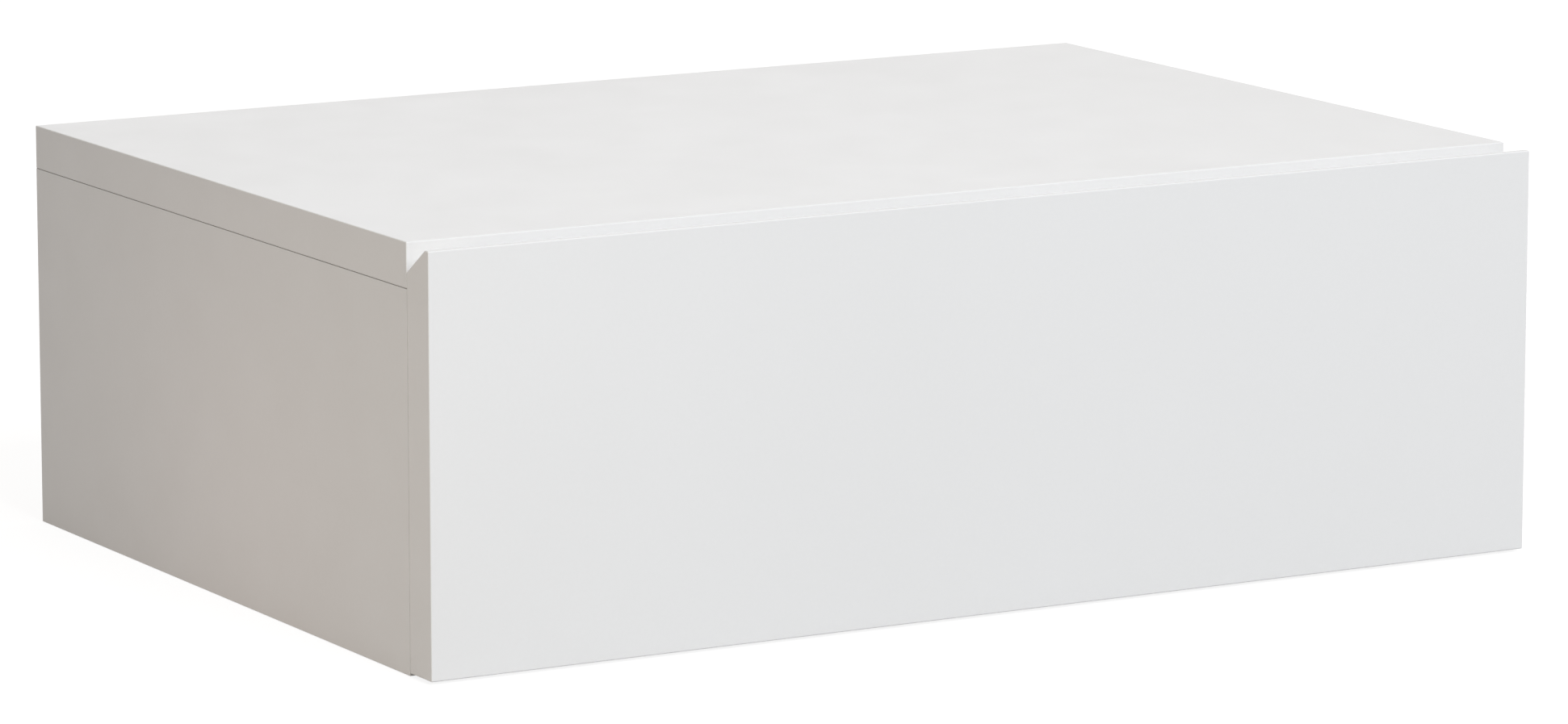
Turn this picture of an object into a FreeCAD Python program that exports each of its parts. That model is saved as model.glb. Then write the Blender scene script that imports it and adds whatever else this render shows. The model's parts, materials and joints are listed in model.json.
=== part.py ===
import FreeCAD, Part
import os
import Sketcher
from FreeCAD import Placement, Rotation, Vector

# Wall-hung nightstand: a board case with one drawer on two ball-bearing slides.
# X runs to the right, Y to the wall behind, Z up. The origin lies under the middle of the piece,
# level with its underside. All lengths are in millimetres.

SIZES = (
    # whole piece
    ("width", 450, "overall width"),
    ("depth", 320, "overall depth with the drawer closed"),
    ("height", 150, "overall height"),
    ("edge_radius", 0.4, "rounding of the edges of the top and the drawer front"),
    ("seam_radius", 0.3, "rounding of the edges of the other boards"),
    # case boards
    ("board", 16, "thickness of the case boards"),
    ("back_sheet", 3, "thickness of the back panel"),
    ("rail", 52, "height of the wall rail"),
    ("groove", 6, "depth of the grooves that hold thin panels"),
    ("groove_play", 0.2, "room around a thin panel in its groove"),
    # drawer front
    ("front_board", 16, "thickness of the drawer front"),
    ("front_gap", 0.2, "gap between drawer front and case, taken up by the bumper pads"),
    ("front_drop", 1, "drop of the front's upper edge below the top"),
    ("front_rise", 1, "rise of the front's lower edge above the underside"),
    ("nose", 2.6, "flat left on the front's upper edge before the bevel"),
    ("bevel_height", 9.3, "drop of the bevel from the nose to the rear face"),
    ("pad_diameter", 8, "diameter of a bumper pad"),
    ("pad_thickness", 1.5, "thickness of a bumper pad, most of it sunk into the drawer front"),
    ("pad_drop", 34, "drop of the bumper pads below the top"),
    # wall fixing
    ("wall_hole", 6, "diameter of a wall screw hole"),
    ("wall_hole_spacing", 300, "distance between the wall screw holes"),
    ("wall_hole_drop", 26, "drop of the wall screw holes below the top board"),
    ("wall_access", 16, "diameter of the access holes in the back panel"),
    # joints between boards
    ("hole_play", 0.1, "radial room around a fastener in its hole"),
    ("hole_end", 1, "spare depth at the end of a blind hole"),
    ("dowel", 8, "diameter of a case dowel"),
    ("drawer_dowel", 6, "diameter of a drawer dowel"),
    ("dowel_length", 28, "length of a dowel"),
    ("dowel_in_face", 9, "part of a dowel that sits in the face of a board"),
    ("cam", 15, "diameter of a case cam lock"),
    ("drawer_cam", 12, "diameter of a drawer cam lock"),
    ("cam_setback", 24, "distance from the joint to the axis of a cam lock"),
    ("cam_floor", 4.2, "depth of a cam lock behind the axis of its bolt"),
    ("cam_sink", 0.2, "depth of a cam lock's face below the board"),
    ("cam_slot", 7, "length of the driver slots in a cam lock"),
    ("cam_slot_width", 1.6, "width of the driver slots in a cam lock"),
    ("cam_slot_depth", 1.4, "depth of the driver slots in a cam lock"),
    ("bolt_stud", 5, "diameter of a cam bolt's stud"),
    ("bolt_stud_length", 10.5, "length of a cam bolt's stud"),
    ("bolt_head", 7, "diameter of a cam bolt's head and collar"),
    ("bolt_head_length", 3.2, "length of a cam bolt's head"),
    ("bolt_collar_length", 1.6, "length of a cam bolt's collar"),
    ("bolt_play", 0.3, "radial room around a cam bolt's head and collar"),
    ("bolt_shank", 5.6, "diameter of a cam bolt's shank"),
    ("bolt_neck", 4, "diameter of a cam bolt's neck"),
    ("bolt_neck_length", 4, "length of a cam bolt's neck"),
    ("joint_front", 40, "distance of the front cams from the case front"),
    ("joint_rear", 58, "distance of the rear cams from the wall"),
    ("joint_pitch", 32, "distance from a cam to the dowel beside it"),
    ("rail_dowel_inset", 12, "distance of the rail's dowels from its upper edge"),
    ("rail_cam_inset", 13, "distance of the rail's cams from its lower edge"),
    # drawer box
    ("drawer_board", 12, "thickness of the drawer sides and back"),
    ("drawer_headroom", 22, "gap between the drawer sides and the top board"),
    ("drawer_lift", 12, "gap between the drawer sides and the bottom board"),
    ("drawer_rear_gap", 20, "gap between the drawer and the back panel"),
    ("bottom_sheet", 3, "thickness of the drawer bottom"),
    ("bottom_inset", 10, "height of the drawer bottom above the sides' lower edge"),
    ("drawer_cam_wall", 3, "board left between the bottom's groove and the lower drawer cams"),
    ("drawer_cam_inset", 18, "distance of the upper drawer cams from the upper edge"),
    ("back_screw_inset", 14, "distance of the back's screws from its edges"),
    ("bottom_screw_inset", 54, "distance of the outer bottom screws from the drawer sides"),
    # screws
    ("screw", 3.5, "diameter of a screw's shank"),
    ("screw_head", 6.4, "diameter of a screw's head"),
    ("screw_head_height", 1.6, "height of a screw's countersunk head in board"),
    ("screw_tip", 2.5, "length of a screw's tip"),
    ("slide_screw_length", 9.5, "length of a slide screw"),
    ("back_screw_length", 34, "length of a screw from the drawer side into the back"),
    ("bottom_screw_length", 16, "length of a screw from the drawer bottom into the back"),
    ("recess", 3.4, "span of a screw's cross recess"),
    ("recess_width", 0.8, "width of a screw's cross recess"),
    ("recess_depth", 0.8, "depth of a screw's cross recess"),
    # slides
    ("slide_space", 12.5, "space for a slide between case and drawer"),
    ("slide_height", 45, "height of a cabinet member"),
    ("slide_front_inset", 3.8, "distance of the slides from the case front"),
    ("slide_rear_inset", 31, "distance of the slides from the back panel"),
    ("slide_stop", 5, "length of a slide that the drawer's travel leaves out"),
    ("slide_sheet", 1.2, "sheet thickness of the slide members"),
    ("bend_radius", 0.4, "rounding along the slide members"),
    ("slide_play", 0.35, "running room between the webs of a slide"),
    ("lip", 1.5, "length of the lips that hold the balls in"),
    ("ball_outer", 3.9, "diameter of the balls in a cabinet member"),
    ("ball_inner", 3.2, "diameter of the balls in a middle member"),
    ("ball_play", 0.2, "room around a ball"),
    ("ball_margin", 1.05, "room beside the balls in a cabinet member"),
    ("ball_count", 8, "balls in one row"),
    ("ball_end", 8, "distance of the first ball from the end of its cage"),
    ("cage_sheet", 0.5, "sheet thickness of the ball cages"),
    ("cage_end_gap", 4, "way left between a cage and the members' ends at full travel"),
    ("case_screw_front", 34, "distance of a cabinet member's front screw from its front"),
    ("case_screw_rear", 30, "distance of a cabinet member's rear screw from its rear"),
    ("drawer_screw_front", 36, "distance of a drawer member's front screw from its front"),
    ("drawer_screw_rear", 40, "distance of a drawer member's rear screw from its rear"),
    # release levers
    ("lever_place", 90, "distance of a lever's pivot from the slide's front"),
    ("lever_length", 56, "length of a release lever"),
    ("lever_waist", 7, "height of a release lever at its pivot"),
    ("lever_tip", 4, "height of a release lever at its ends"),
    ("lever_hook", 3, "length of a release lever's hook"),
    ("lever_hook_drop", 2.5, "drop of a release lever's hook"),
    ("lever_sheet", 2.4, "thickness of a release lever"),
    ("pivot", 3.6, "diameter of a lever's rivet"),
    ("pivot_play", 0.05, "radial running room of a lever on its rivet"),
    ("pivot_head", 6, "diameter of a rivet's head"),
    ("pivot_head_height", 0.8, "height of a rivet's head"),
)

doc = FreeCAD.newDocument("nightstand")
sizes = doc.addObject("Spreadsheet::Sheet", "sizes")
for row, (alias, value, meaning) in enumerate(SIZES, start=1):
    sizes.set(f"A{row}", meaning)
    sizes.set(f"B{row}", str(value))
    sizes.setAlias(f"B{row}", alias)
doc.recompute()

# Planes and lengths that several pieces share, as expressions of the sizes
FRONT_FACE = "(-sizes.depth / 2)"
FRONT_BACK = f"({FRONT_FACE} + sizes.front_board)"
CASE_FRONT = f"({FRONT_BACK} + sizes.front_gap)"
WALL = "(sizes.depth / 2)"
UNDER_TOP = "(sizes.height - sizes.board)"
OUTER_HALF = "(sizes.width / 2)"
OUTER_LEFT = f"(-{OUTER_HALF})"
INNER_HALF = f"({OUTER_HALF} - sizes.board)"
INNER_LEFT = f"(-{INNER_HALF})"
RAIL_FRONT = f"({WALL} - sizes.board)"
BACK_FRONT = f"({RAIL_FRONT} - sizes.back_sheet)"
FRONT_HEIGHT = "(sizes.height - sizes.front_drop - sizes.front_rise)"

DRAWER_HALF = f"({INNER_HALF} - sizes.slide_space)"
DRAWER_INNER_HALF = f"({DRAWER_HALF} - sizes.drawer_board)"
DRAWER_LOW = "(sizes.board + sizes.drawer_lift)"
DRAWER_TOP = f"({UNDER_TOP} - sizes.drawer_headroom)"
DRAWER_REAR = f"({BACK_FRONT} - sizes.drawer_rear_gap)"
BOTTOM_LOW = f"({DRAWER_LOW} + sizes.bottom_inset)"
BOTTOM_TOP = f"({BOTTOM_LOW} + sizes.bottom_sheet)"
BOTTOM_HALF = f"({DRAWER_INNER_HALF} + sizes.groove - sizes.groove_play)"
BOTTOM_FRONT = f"({FRONT_BACK} - sizes.groove + sizes.groove_play)"

SLIDE_FRONT = f"({CASE_FRONT} + sizes.slide_front_inset)"
SLIDE_LENGTH = f"({BACK_FRONT} - sizes.slide_rear_inset - {SLIDE_FRONT})"
SLIDE_TRAVEL = f"({SLIDE_LENGTH} - sizes.slide_stop)"
SLIDE_LEVEL = f"(({DRAWER_LOW} + {DRAWER_TOP}) / 2)"
BOLT_HOLE = "(sizes.bolt_head + 2 * sizes.bolt_play)"

SIDES = {"left": -1, "right": 1}
NORMALS = {
    "left": Vector(-1, 0, 0),
    "right": Vector(1, 0, 0),
    "front": Vector(0, -1, 0),
    "rear": Vector(0, 1, 0),
    "bottom": Vector(0, 0, -1),
    "top": Vector(0, 0, 1),
}
OPPOSITE = {"left": "right", "right": "left", "front": "rear", "rear": "front",
            "bottom": "top", "top": "bottom"}
X_AXIS, Y_AXIS, Z_AXIS = range(3)
PLANES = ("YZ_Plane", "XZ_Plane", "XY_Plane")  # the plane across each axis
START_POINT, END_POINT, CENTRE_POINT = range(1, 4)  # points of a sketch's line or circle

FULL_TURN = 360
QUARTERS = 4
PARALLEL = 0.999  # least cosine between an edge and the direction that it counts as running along
LEAST_CUT = 0.01  # cubic millimetres that every cut removes at least

sub_parts = []
cuts = []


def across(face):
    """Number of the axis that runs across a face."""
    return [abs(part) for part in NORMALS[face]].index(1)


def moved(place, face, distance):
    """A place moved out of a face by a distance."""
    axis = across(face)
    sign = "+" if sum(NORMALS[face]) > 0 else "-"
    return [f"({term} {sign} {distance})" if number == axis else term
            for number, term in enumerate(place)]


def swapped(place, axis, term):
    """A place with one of its coordinates replaced."""
    return [term if number == axis else old for number, old in enumerate(place)]


def facing(out, along):
    """Rotation that turns a piece's Z to `out` and its X to `along`."""
    return Rotation(along, out.cross(along), out, "ZXY")


def bind_place(thing, place):
    for axis, expression in zip("xyz", place):
        thing.setExpression(f"Placement.Base.{axis}", expression)


def bind_point(sketch, geometry, end, point):
    """Ties one point of a sketch to a pair of expressions."""
    for kind, expression in zip(("DistanceX", "DistanceY"), point):
        value = float(sizes.evalExpression(expression))
        number = sketch.addConstraint(Sketcher.Constraint(kind, geometry, end, value))
        sketch.setExpression(f"Constraints[{number}]", expression)


def draw_outline(sketch, points):
    """Closed outline of straight lines through points given as pairs of expressions."""
    corners = [Vector(*[float(sizes.evalExpression(term)) for term in point]) for point in points]
    following = corners[1:] + corners[:1]
    for corner, end in zip(corners, following):
        sketch.addGeometry(Part.LineSegment(corner, end))
    for number in range(len(points)):
        next_number = (number + 1) % len(points)
        link = Sketcher.Constraint("Coincident", number, END_POINT, next_number, START_POINT)
        sketch.addConstraint(link)
    for number, point in enumerate(points):
        bind_point(sketch, number, START_POINT, point)


def draw_circle(sketch, centre, diameter):
    middle = Vector(*[float(sizes.evalExpression(term)) for term in centre])
    radius = float(sizes.evalExpression(diameter)) / 2
    circle = sketch.addGeometry(Part.Circle(middle, Vector(0, 0, 1), radius))
    number = sketch.addConstraint(Sketcher.Constraint("Diameter", circle, 2 * radius))
    sketch.setExpression(f"Constraints[{number}]", diameter)
    bind_point(sketch, circle, CENTRE_POINT, centre)


def rectangle(low, high):
    return [(low[0], low[1]), (high[0], low[1]), (high[0], high[1]), (low[0], high[1])]


def cross(span, width):
    """Outline of an upright cross about the origin."""
    tip, arm = f"({span} / 2)", f"({width} / 2)"
    quarter = [(tip, arm), (arm, arm), (arm, tip)]
    points = []
    for _ in range(QUARTERS):
        points += quarter
        quarter = [(f"(-{y})", x) for x, y in quarter]
    return points


class Piece:
    """A body whose own origin lies at a place in the frame of the whole nightstand."""

    def __init__(self, label, origin=("0", "0", "0"), kept=True):
        self.body = doc.addObject("PartDesign::Body", label)
        self.body.Label = label
        self.origin = origin
        bind_place(self.body, origin)
        if kept:
            sub_parts.append(self.body)

    def local(self, place):
        return [f"({term} - {start})" for term, start in zip(place, self.origin)]

    def sketch(self, axis, offset="0"):
        """Empty sketch across an axis, at an offset along the normal of the body's own plane."""
        role = PLANES[axis]
        sketch = self.body.newObject("Sketcher::SketchObject", f"{self.body.Name}_sketch")
        plane = next(item for item in self.body.Origin.OriginFeatures if item.Role == role)
        sketch.AttachmentSupport = [(plane, "")]
        sketch.MapMode = "FlatFace"
        sketch.setExpression("AttachmentOffset.Base.z", offset)
        return sketch

    def pad(self, sketch, length, against_normal=False):
        pad = self.body.newObject("PartDesign::Pad", f"{self.body.Name}_pad")
        pad.Profile = sketch
        pad.Reversed = against_normal
        pad.setExpression("Length", length)
        return pad

    def revolve(self, points):
        """Turned solid from half an outline given as radius and height."""
        sketch = self.sketch(Y_AXIS)
        draw_outline(sketch, points)
        turned = self.body.newObject("PartDesign::Revolution", f"{self.body.Name}_turned")
        turned.Profile = sketch
        turned.ReferenceAxis = (sketch, ["V_Axis"])
        turned.Angle = FULL_TURN

    def pocket(self, sketch, length, along_normal=False):
        pocket = self.body.newObject("PartDesign::Pocket", f"{self.body.Name}_pocket")
        pocket.Profile = sketch
        pocket.Reversed = along_normal
        pocket.setExpression("Length", length)
        cuts.append(pocket)
        return pocket

    def round_edges(self, feature, radius, chosen):
        """Rounds those edges of a feature that `chosen` accepts."""
        doc.recompute()
        edges = enumerate(feature.Shape.Edges, start=1)
        names = [f"Edge{number}" for number, edge in edges if chosen(edge)]
        rounding = self.body.newObject("PartDesign::Fillet", f"{self.body.Name}_rounding")
        rounding.Base = (feature, names)
        rounding.setExpression("Radius", radius)

    def countersink(self, face, place, height):
        """Seat for a screw head whose flat top lies level with a face."""
        cone = self.body.newObject("PartDesign::SubtractiveCone", f"{self.body.Name}_seat")
        cone.setExpression("Radius1", "sizes.screw_head / 2 + sizes.hole_play")
        cone.setExpression("Radius2", "sizes.screw / 2 + sizes.hole_play")
        cone.setExpression("Height", height)
        cone.Placement = Placement(Vector(), Rotation(Vector(0, 0, -1), NORMALS[face]))
        bind_place(cone, self.local(place))
        cuts.append(cone)


class Board(Piece):
    """A flat board from one corner to the opposite one, with a drilling plan."""

    rounding = "sizes.seam_radius"

    def __init__(self, label, low, high):
        super().__init__(label, low)
        self.low, self.high = low, high
        self.drillings = {}
        self.round_off(self.blank())

    def blank(self):
        """The board before its edges are rounded."""
        span = self.local(self.high)
        sketch = self.sketch(Z_AXIS)
        draw_outline(sketch, rectangle(("0", "0"), span))
        return self.pad(sketch, span[Z_AXIS])

    def round_off(self, blank):
        self.round_edges(blank, self.rounding, lambda edge: True)

    def level(self, face):
        """Where a face lies along the axis across it."""
        ends = self.high if sum(NORMALS[face]) > 0 else self.low
        return ends[across(face)]

    def cut(self, face, draw, depth):
        """Pocket of a given depth, drawn by `draw` on a face."""
        axis = across(face)
        offset = f"({self.level(face)} - {self.origin[axis]})"
        flipped = axis == Y_AXIS  # the plane across Y faces backwards along its axis
        sketch = self.sketch(axis, f"(-{offset})" if flipped else offset)
        draw(sketch)
        outward = sum(NORMALS[face]) > 0
        self.pocket(sketch, depth, along_normal=outward == flipped)

    def in_face(self, face, place):
        """A place seen in the plane of a face."""
        return [term for number, term in enumerate(self.local(place)) if number != across(face)]

    def groove(self, face, low, high, depth):
        corners = rectangle(self.in_face(face, low), self.in_face(face, high))
        self.cut(face, lambda sketch: draw_outline(sketch, corners), depth)

    def drill(self, face, place, diameter, depth):
        self.drillings.setdefault((face, diameter, depth), []).append(place)

    def drill_all(self):
        """One pocket for each kind of hole on each face."""
        for (face, diameter, depth), places in self.drillings.items():
            def draw(sketch):
                for place in places:
                    draw_circle(sketch, self.in_face(face, place), diameter)
            self.cut(face, draw, depth)


class ThinPanel(Board):
    """A thin board with sharp edges, which grooves hold."""

    def round_off(self, blank):
        pass


class ShownBoard(Board):
    """The top or the drawer front, whose edges are rounded more than those of the other boards."""

    rounding = "sizes.edge_radius"


def group(label, master, places):
    """One sub-part made of a copy of a master at each place and rotation."""
    copies = []
    for place, turn in places:
        copy = doc.addObject("App::Link", f"{label}_copy")
        copy.LinkedObject = master
        copy.Placement = Placement(Vector(), turn)
        bind_place(copy, place)
        copies.append(copy)
    node = doc.addObject("Part::Compound", label)
    node.Label = label
    node.Links = copies
    sub_parts.append(node)


def hole_for(diameter):
    return f"({diameter} + 2 * sizes.hole_play)"


class Joinery:
    """Cam and dowel joints of one group of boards, with the places of their fasteners."""

    def __init__(self, cam, dowel):
        self.cam, self.dowel = cam, dowel
        self.cam_places, self.bolt_places, self.dowel_places = [], [], []

    def cam_joint(self, board, face, edge_board, cam_face, place):
        """Bolt in a board's face, drawn tight by a cam in the other board's cam_face."""
        out, cam_out = NORMALS[face], NORMALS[cam_face]
        board.drill(face, place, hole_for("sizes.bolt_stud"), "(sizes.bolt_stud_length + sizes.hole_end)")
        edge_board.drill(OPPOSITE[face], place, BOLT_HOLE, "sizes.cam_setback")
        cam_centre = moved(place, face, "sizes.cam_setback")
        seat = swapped(cam_centre, across(cam_face), edge_board.level(cam_face))
        depth = f"({self.bolt_depth(edge_board, cam_face, place)} + sizes.cam_floor + sizes.hole_play)"
        edge_board.drill(cam_face, seat, hole_for(self.cam), depth)
        self.bolt_places.append((place, facing(out, cam_out)))
        self.cam_places.append((moved(seat, OPPOSITE[cam_face], "sizes.cam_sink"), facing(cam_out, -out)))

    @staticmethod
    def bolt_depth(edge_board, cam_face, place):
        """Depth of a bolt's axis below the face that its cam sits in."""
        axis = across(cam_face)
        if sum(NORMALS[cam_face]) > 0:
            return f"({edge_board.level(cam_face)} - {place[axis]})"
        return f"({place[axis]} - {edge_board.level(cam_face)})"

    def dowel_joint(self, board, face, edge_board, place):
        """Dowel between a board's face and the other board's edge."""
        board.drill(face, place, hole_for(self.dowel), "(sizes.dowel_in_face + sizes.hole_end)")
        edge_board.drill(OPPOSITE[face], place, hole_for(self.dowel),
                         "(sizes.dowel_length - sizes.dowel_in_face + sizes.hole_end)")
        start = moved(place, OPPOSITE[face], "sizes.dowel_in_face")
        self.dowel_places.append((start, Rotation(Vector(0, 0, 1), NORMALS[face])))


# Case boards
top_panel = ShownBoard("top_panel", (OUTER_LEFT, CASE_FRONT, UNDER_TOP), (OUTER_HALF, WALL, "sizes.height"))
bottom_panel = Board("bottom_panel", (INNER_LEFT, CASE_FRONT, "0"), (INNER_HALF, WALL, "sizes.board"))
side_panels = {
    "left": Board("left_side_panel", (OUTER_LEFT, CASE_FRONT, "0"), (INNER_LEFT, WALL, UNDER_TOP)),
    "right": Board("right_side_panel", (INNER_HALF, CASE_FRONT, "0"), (OUTER_HALF, WALL, UNDER_TOP)),
}
wall_rail = Board("wall_rail", (INNER_LEFT, RAIL_FRONT, f"({UNDER_TOP} - sizes.rail)"),
                  (INNER_HALF, WALL, UNDER_TOP))

# Back panel, held all round in grooves that are wider and deeper by the play
GROOVE_HALF = f"({INNER_HALF} + sizes.groove)"
GROOVE_FRONT = f"({BACK_FRONT} - sizes.groove_play)"
GROOVE_REAR = f"({RAIL_FRONT} + sizes.groove_play)"
GROOVE_LOW = "(sizes.board - sizes.groove)"
GROOVE_HIGH = f"({UNDER_TOP} + sizes.groove)"
BACK_HALF = f"({GROOVE_HALF} - sizes.groove_play)"
BACK_LOW = f"({GROOVE_LOW} + sizes.groove_play)"
BACK_HIGH = f"({GROOVE_HIGH} - sizes.groove_play)"
back_panel = ThinPanel("back_panel", (f"(-{BACK_HALF})", BACK_FRONT, BACK_LOW),
                       (BACK_HALF, RAIL_FRONT, BACK_HIGH))
for board, face, half in ((top_panel, "bottom", GROOVE_HALF), (bottom_panel, "top", INNER_HALF)):
    board.groove(face, (f"(-{half})", GROOVE_FRONT, "0"), (half, GROOVE_REAR, "0"), "sizes.groove")
for side, panel in side_panels.items():
    panel.groove(OPPOSITE[side], ("0", GROOVE_FRONT, GROOVE_LOW), ("0", GROOVE_REAR, UNDER_TOP),
                 "sizes.groove")

# Case joints: the top lies on the sides, the bottom and the rail stand between them
case_joinery = Joinery("sizes.cam", "sizes.dowel")
CAM_ROWS = (
    (f"({CASE_FRONT} + sizes.joint_front)", f"({CASE_FRONT} + sizes.joint_front + sizes.joint_pitch)"),
    (f"({WALL} - sizes.joint_rear)", f"({WALL} - sizes.joint_rear - sizes.joint_pitch)"),
)
HALF_BOARD = "(sizes.board / 2)"
RAIL_MIDDLE = f"({WALL} - {HALF_BOARD})"
RAIL_CAM_LEVEL = f"({wall_rail.level('bottom')} + sizes.rail_cam_inset)"
RAIL_DOWEL_LEVEL = f"({wall_rail.level('top')} - sizes.rail_dowel_inset)"
for side, sign in SIDES.items():
    panel, inward = side_panels[side], OPPOSITE[side]
    middle = f"({sign} * ({OUTER_HALF} - {HALF_BOARD}))"
    inner = f"({sign} * {INNER_HALF})"
    for cam_row, dowel_row in CAM_ROWS:
        case_joinery.cam_joint(top_panel, "bottom", panel, inward, (middle, cam_row, UNDER_TOP))
        case_joinery.dowel_joint(top_panel, "bottom", panel, (middle, dowel_row, UNDER_TOP))
        case_joinery.cam_joint(panel, inward, bottom_panel, "bottom", (inner, cam_row, HALF_BOARD))
        case_joinery.dowel_joint(panel, inward, bottom_panel, (inner, dowel_row, HALF_BOARD))
    case_joinery.cam_joint(panel, inward, wall_rail, "rear", (inner, RAIL_MIDDLE, RAIL_CAM_LEVEL))
    case_joinery.dowel_joint(panel, inward, wall_rail, (inner, RAIL_MIDDLE, RAIL_DOWEL_LEVEL))

# Holes for the wall screws, with wider access holes in the back panel
WALL_HOLE_LEVEL = f"({UNDER_TOP} - sizes.wall_hole_drop)"
for sign in SIDES.values():
    wall_hole = (f"({sign} * sizes.wall_hole_spacing / 2)", WALL, WALL_HOLE_LEVEL)
    wall_rail.drill("rear", wall_hole, "sizes.wall_hole", "sizes.board")
    back_panel.drill("rear", wall_hole, "sizes.wall_access", "sizes.back_sheet")


class BevelledBoard(ShownBoard):
    """Drawer front, whose bevel behind the upper edge opens the finger groove to the top board."""

    def blank(self):
        sketch = self.sketch(X_AXIS)
        bevel_foot = f"({FRONT_HEIGHT} - sizes.bevel_height)"
        draw_outline(sketch, [("0", "0"), ("sizes.front_board", "0"), ("sizes.front_board", bevel_foot),
                              ("sizes.nose", FRONT_HEIGHT), ("0", FRONT_HEIGHT)])
        return self.pad(sketch, "sizes.width")


drawer_front = BevelledBoard("drawer_front", (OUTER_LEFT, FRONT_FACE, "sizes.front_rise"),
                             (OUTER_HALF, FRONT_BACK, f"(sizes.front_rise + {FRONT_HEIGHT})"))

# Bumper pads, sunk into the drawer front opposite the front edges of the case sides
PAD_SEAT = "(sizes.pad_thickness - sizes.front_gap)"
PAD_LEVEL = "(sizes.height - sizes.pad_drop)"
bumper_pads = []
for sign in SIDES.values():
    place = (f"({sign} * ({OUTER_HALF} - {HALF_BOARD}))", FRONT_BACK, PAD_LEVEL)
    drawer_front.drill("rear", place, hole_for("sizes.pad_diameter"), PAD_SEAT)
    bumper_pads.append((moved(place, "front", PAD_SEAT), Rotation(NORMALS["top"], NORMALS["rear"])))

# Drawer box
drawer_sides = {
    "left": Board("drawer_left_side", (f"(-{DRAWER_HALF})", FRONT_BACK, DRAWER_LOW),
                  (f"(-{DRAWER_INNER_HALF})", DRAWER_REAR, DRAWER_TOP)),
    "right": Board("drawer_right_side", (DRAWER_INNER_HALF, FRONT_BACK, DRAWER_LOW),
                   (DRAWER_HALF, DRAWER_REAR, DRAWER_TOP)),
}
drawer_back = Board("drawer_back",
                    (f"(-{DRAWER_INNER_HALF})", f"({DRAWER_REAR} - sizes.drawer_board)", BOTTOM_TOP),
                    (DRAWER_INNER_HALF, DRAWER_REAR, DRAWER_TOP))
drawer_bottom = ThinPanel("drawer_bottom", (f"(-{BOTTOM_HALF})", BOTTOM_FRONT, BOTTOM_LOW),
                          (BOTTOM_HALF, DRAWER_REAR, BOTTOM_TOP))
SLOT_LOW = f"({BOTTOM_LOW} - sizes.groove_play)"
SLOT_HIGH = f"({BOTTOM_TOP} + sizes.groove_play)"
SLOT_HALF = f"({DRAWER_INNER_HALF} + sizes.groove)"
drawer_front.groove("rear", (f"(-{SLOT_HALF})", "0", SLOT_LOW), (SLOT_HALF, "0", SLOT_HIGH), "sizes.groove")
for side, panel in drawer_sides.items():
    panel.groove(OPPOSITE[side], ("0", FRONT_BACK, SLOT_LOW), ("0", DRAWER_REAR, SLOT_HIGH), "sizes.groove")

# Drawer joints: cams and a dowel at the front, screws at the back
drawer_joinery = Joinery("sizes.drawer_cam", "sizes.drawer_dowel")
CAM_LEVELS = (
    f"({SLOT_HIGH} + sizes.drawer_cam_wall + sizes.drawer_cam / 2)",
    f"({DRAWER_TOP} - sizes.drawer_cam_inset)",
)
DOWEL_LEVEL = f"(({CAM_LEVELS[0]} + {CAM_LEVELS[1]}) / 2)"
BACK_MIDDLE = f"({DRAWER_REAR} - sizes.drawer_board / 2)"
BACK_SCREW_LEVELS = (f"({BOTTOM_TOP} + sizes.back_screw_inset)", f"({DRAWER_TOP} - sizes.back_screw_inset)")
BACK_SCREW_SHANK = "(sizes.back_screw_length - sizes.drawer_board + sizes.hole_end)"
back_screws = []
for side, sign in SIDES.items():
    panel = drawer_sides[side]
    middle = f"({sign} * ({DRAWER_HALF} - sizes.drawer_board / 2))"
    for level in CAM_LEVELS:
        drawer_joinery.cam_joint(drawer_front, "rear", panel, side, (middle, FRONT_BACK, level))
    drawer_joinery.dowel_joint(drawer_front, "rear", panel, (middle, FRONT_BACK, DOWEL_LEVEL))
    for level in BACK_SCREW_LEVELS:
        place = (f"({sign} * {DRAWER_HALF})", BACK_MIDDLE, level)
        panel.drill(side, place, hole_for("sizes.screw"), "sizes.drawer_board")
        panel.countersink(side, place, "sizes.screw_head_height")
        drawer_back.drill(side, place, hole_for("sizes.screw"), BACK_SCREW_SHANK)
        back_screws.append((place, facing(NORMALS[side], NORMALS["top"])))

# Drawer bottom screwed up into the drawer back
bottom_screws = []
for step in (-1, 0, 1):
    place = (f"({step} * ({DRAWER_INNER_HALF} - sizes.bottom_screw_inset))", BACK_MIDDLE, BOTTOM_LOW)
    drawer_bottom.drill("bottom", place, hole_for("sizes.screw"), "sizes.bottom_sheet")
    drawer_bottom.countersink("bottom", place, "sizes.screw_head_height")
    drawer_back.drill("bottom", place, hole_for("sizes.screw"),
                      "(sizes.bottom_screw_length - sizes.bottom_sheet + sizes.hole_end)")
    bottom_screws.append((place, facing(NORMALS["bottom"], NORMALS["right"])))

# Cross-section of a slide: u runs from the case side to the drawer side, v up from the middle
CAGE_WEB = "(sizes.slide_sheet + sizes.slide_play)"
CAGE_STEP = "(2 * sizes.slide_play + sizes.cage_sheet)"
CABINET_END = "(2 * sizes.slide_sheet + sizes.ball_outer + 2 * sizes.ball_margin)"
MIDDLE_WEB = f"(sizes.slide_sheet + {CAGE_STEP})"
DRAWER_WEB = "(sizes.slide_space - sizes.slide_sheet)"
MIDDLE_END = f"({DRAWER_WEB} - sizes.slide_play)"
INNER_CAGE_WEB = f"({MIDDLE_WEB} + sizes.slide_sheet + sizes.slide_play)"
DRAWER_MEMBER_END = f"({MIDDLE_WEB} + sizes.slide_sheet + {CAGE_STEP})"
CABINET_V = "(sizes.slide_height / 2)"
OUTER_BALL_V = f"({CABINET_V} - sizes.slide_sheet - sizes.ball_play - sizes.ball_outer / 2)"
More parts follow.
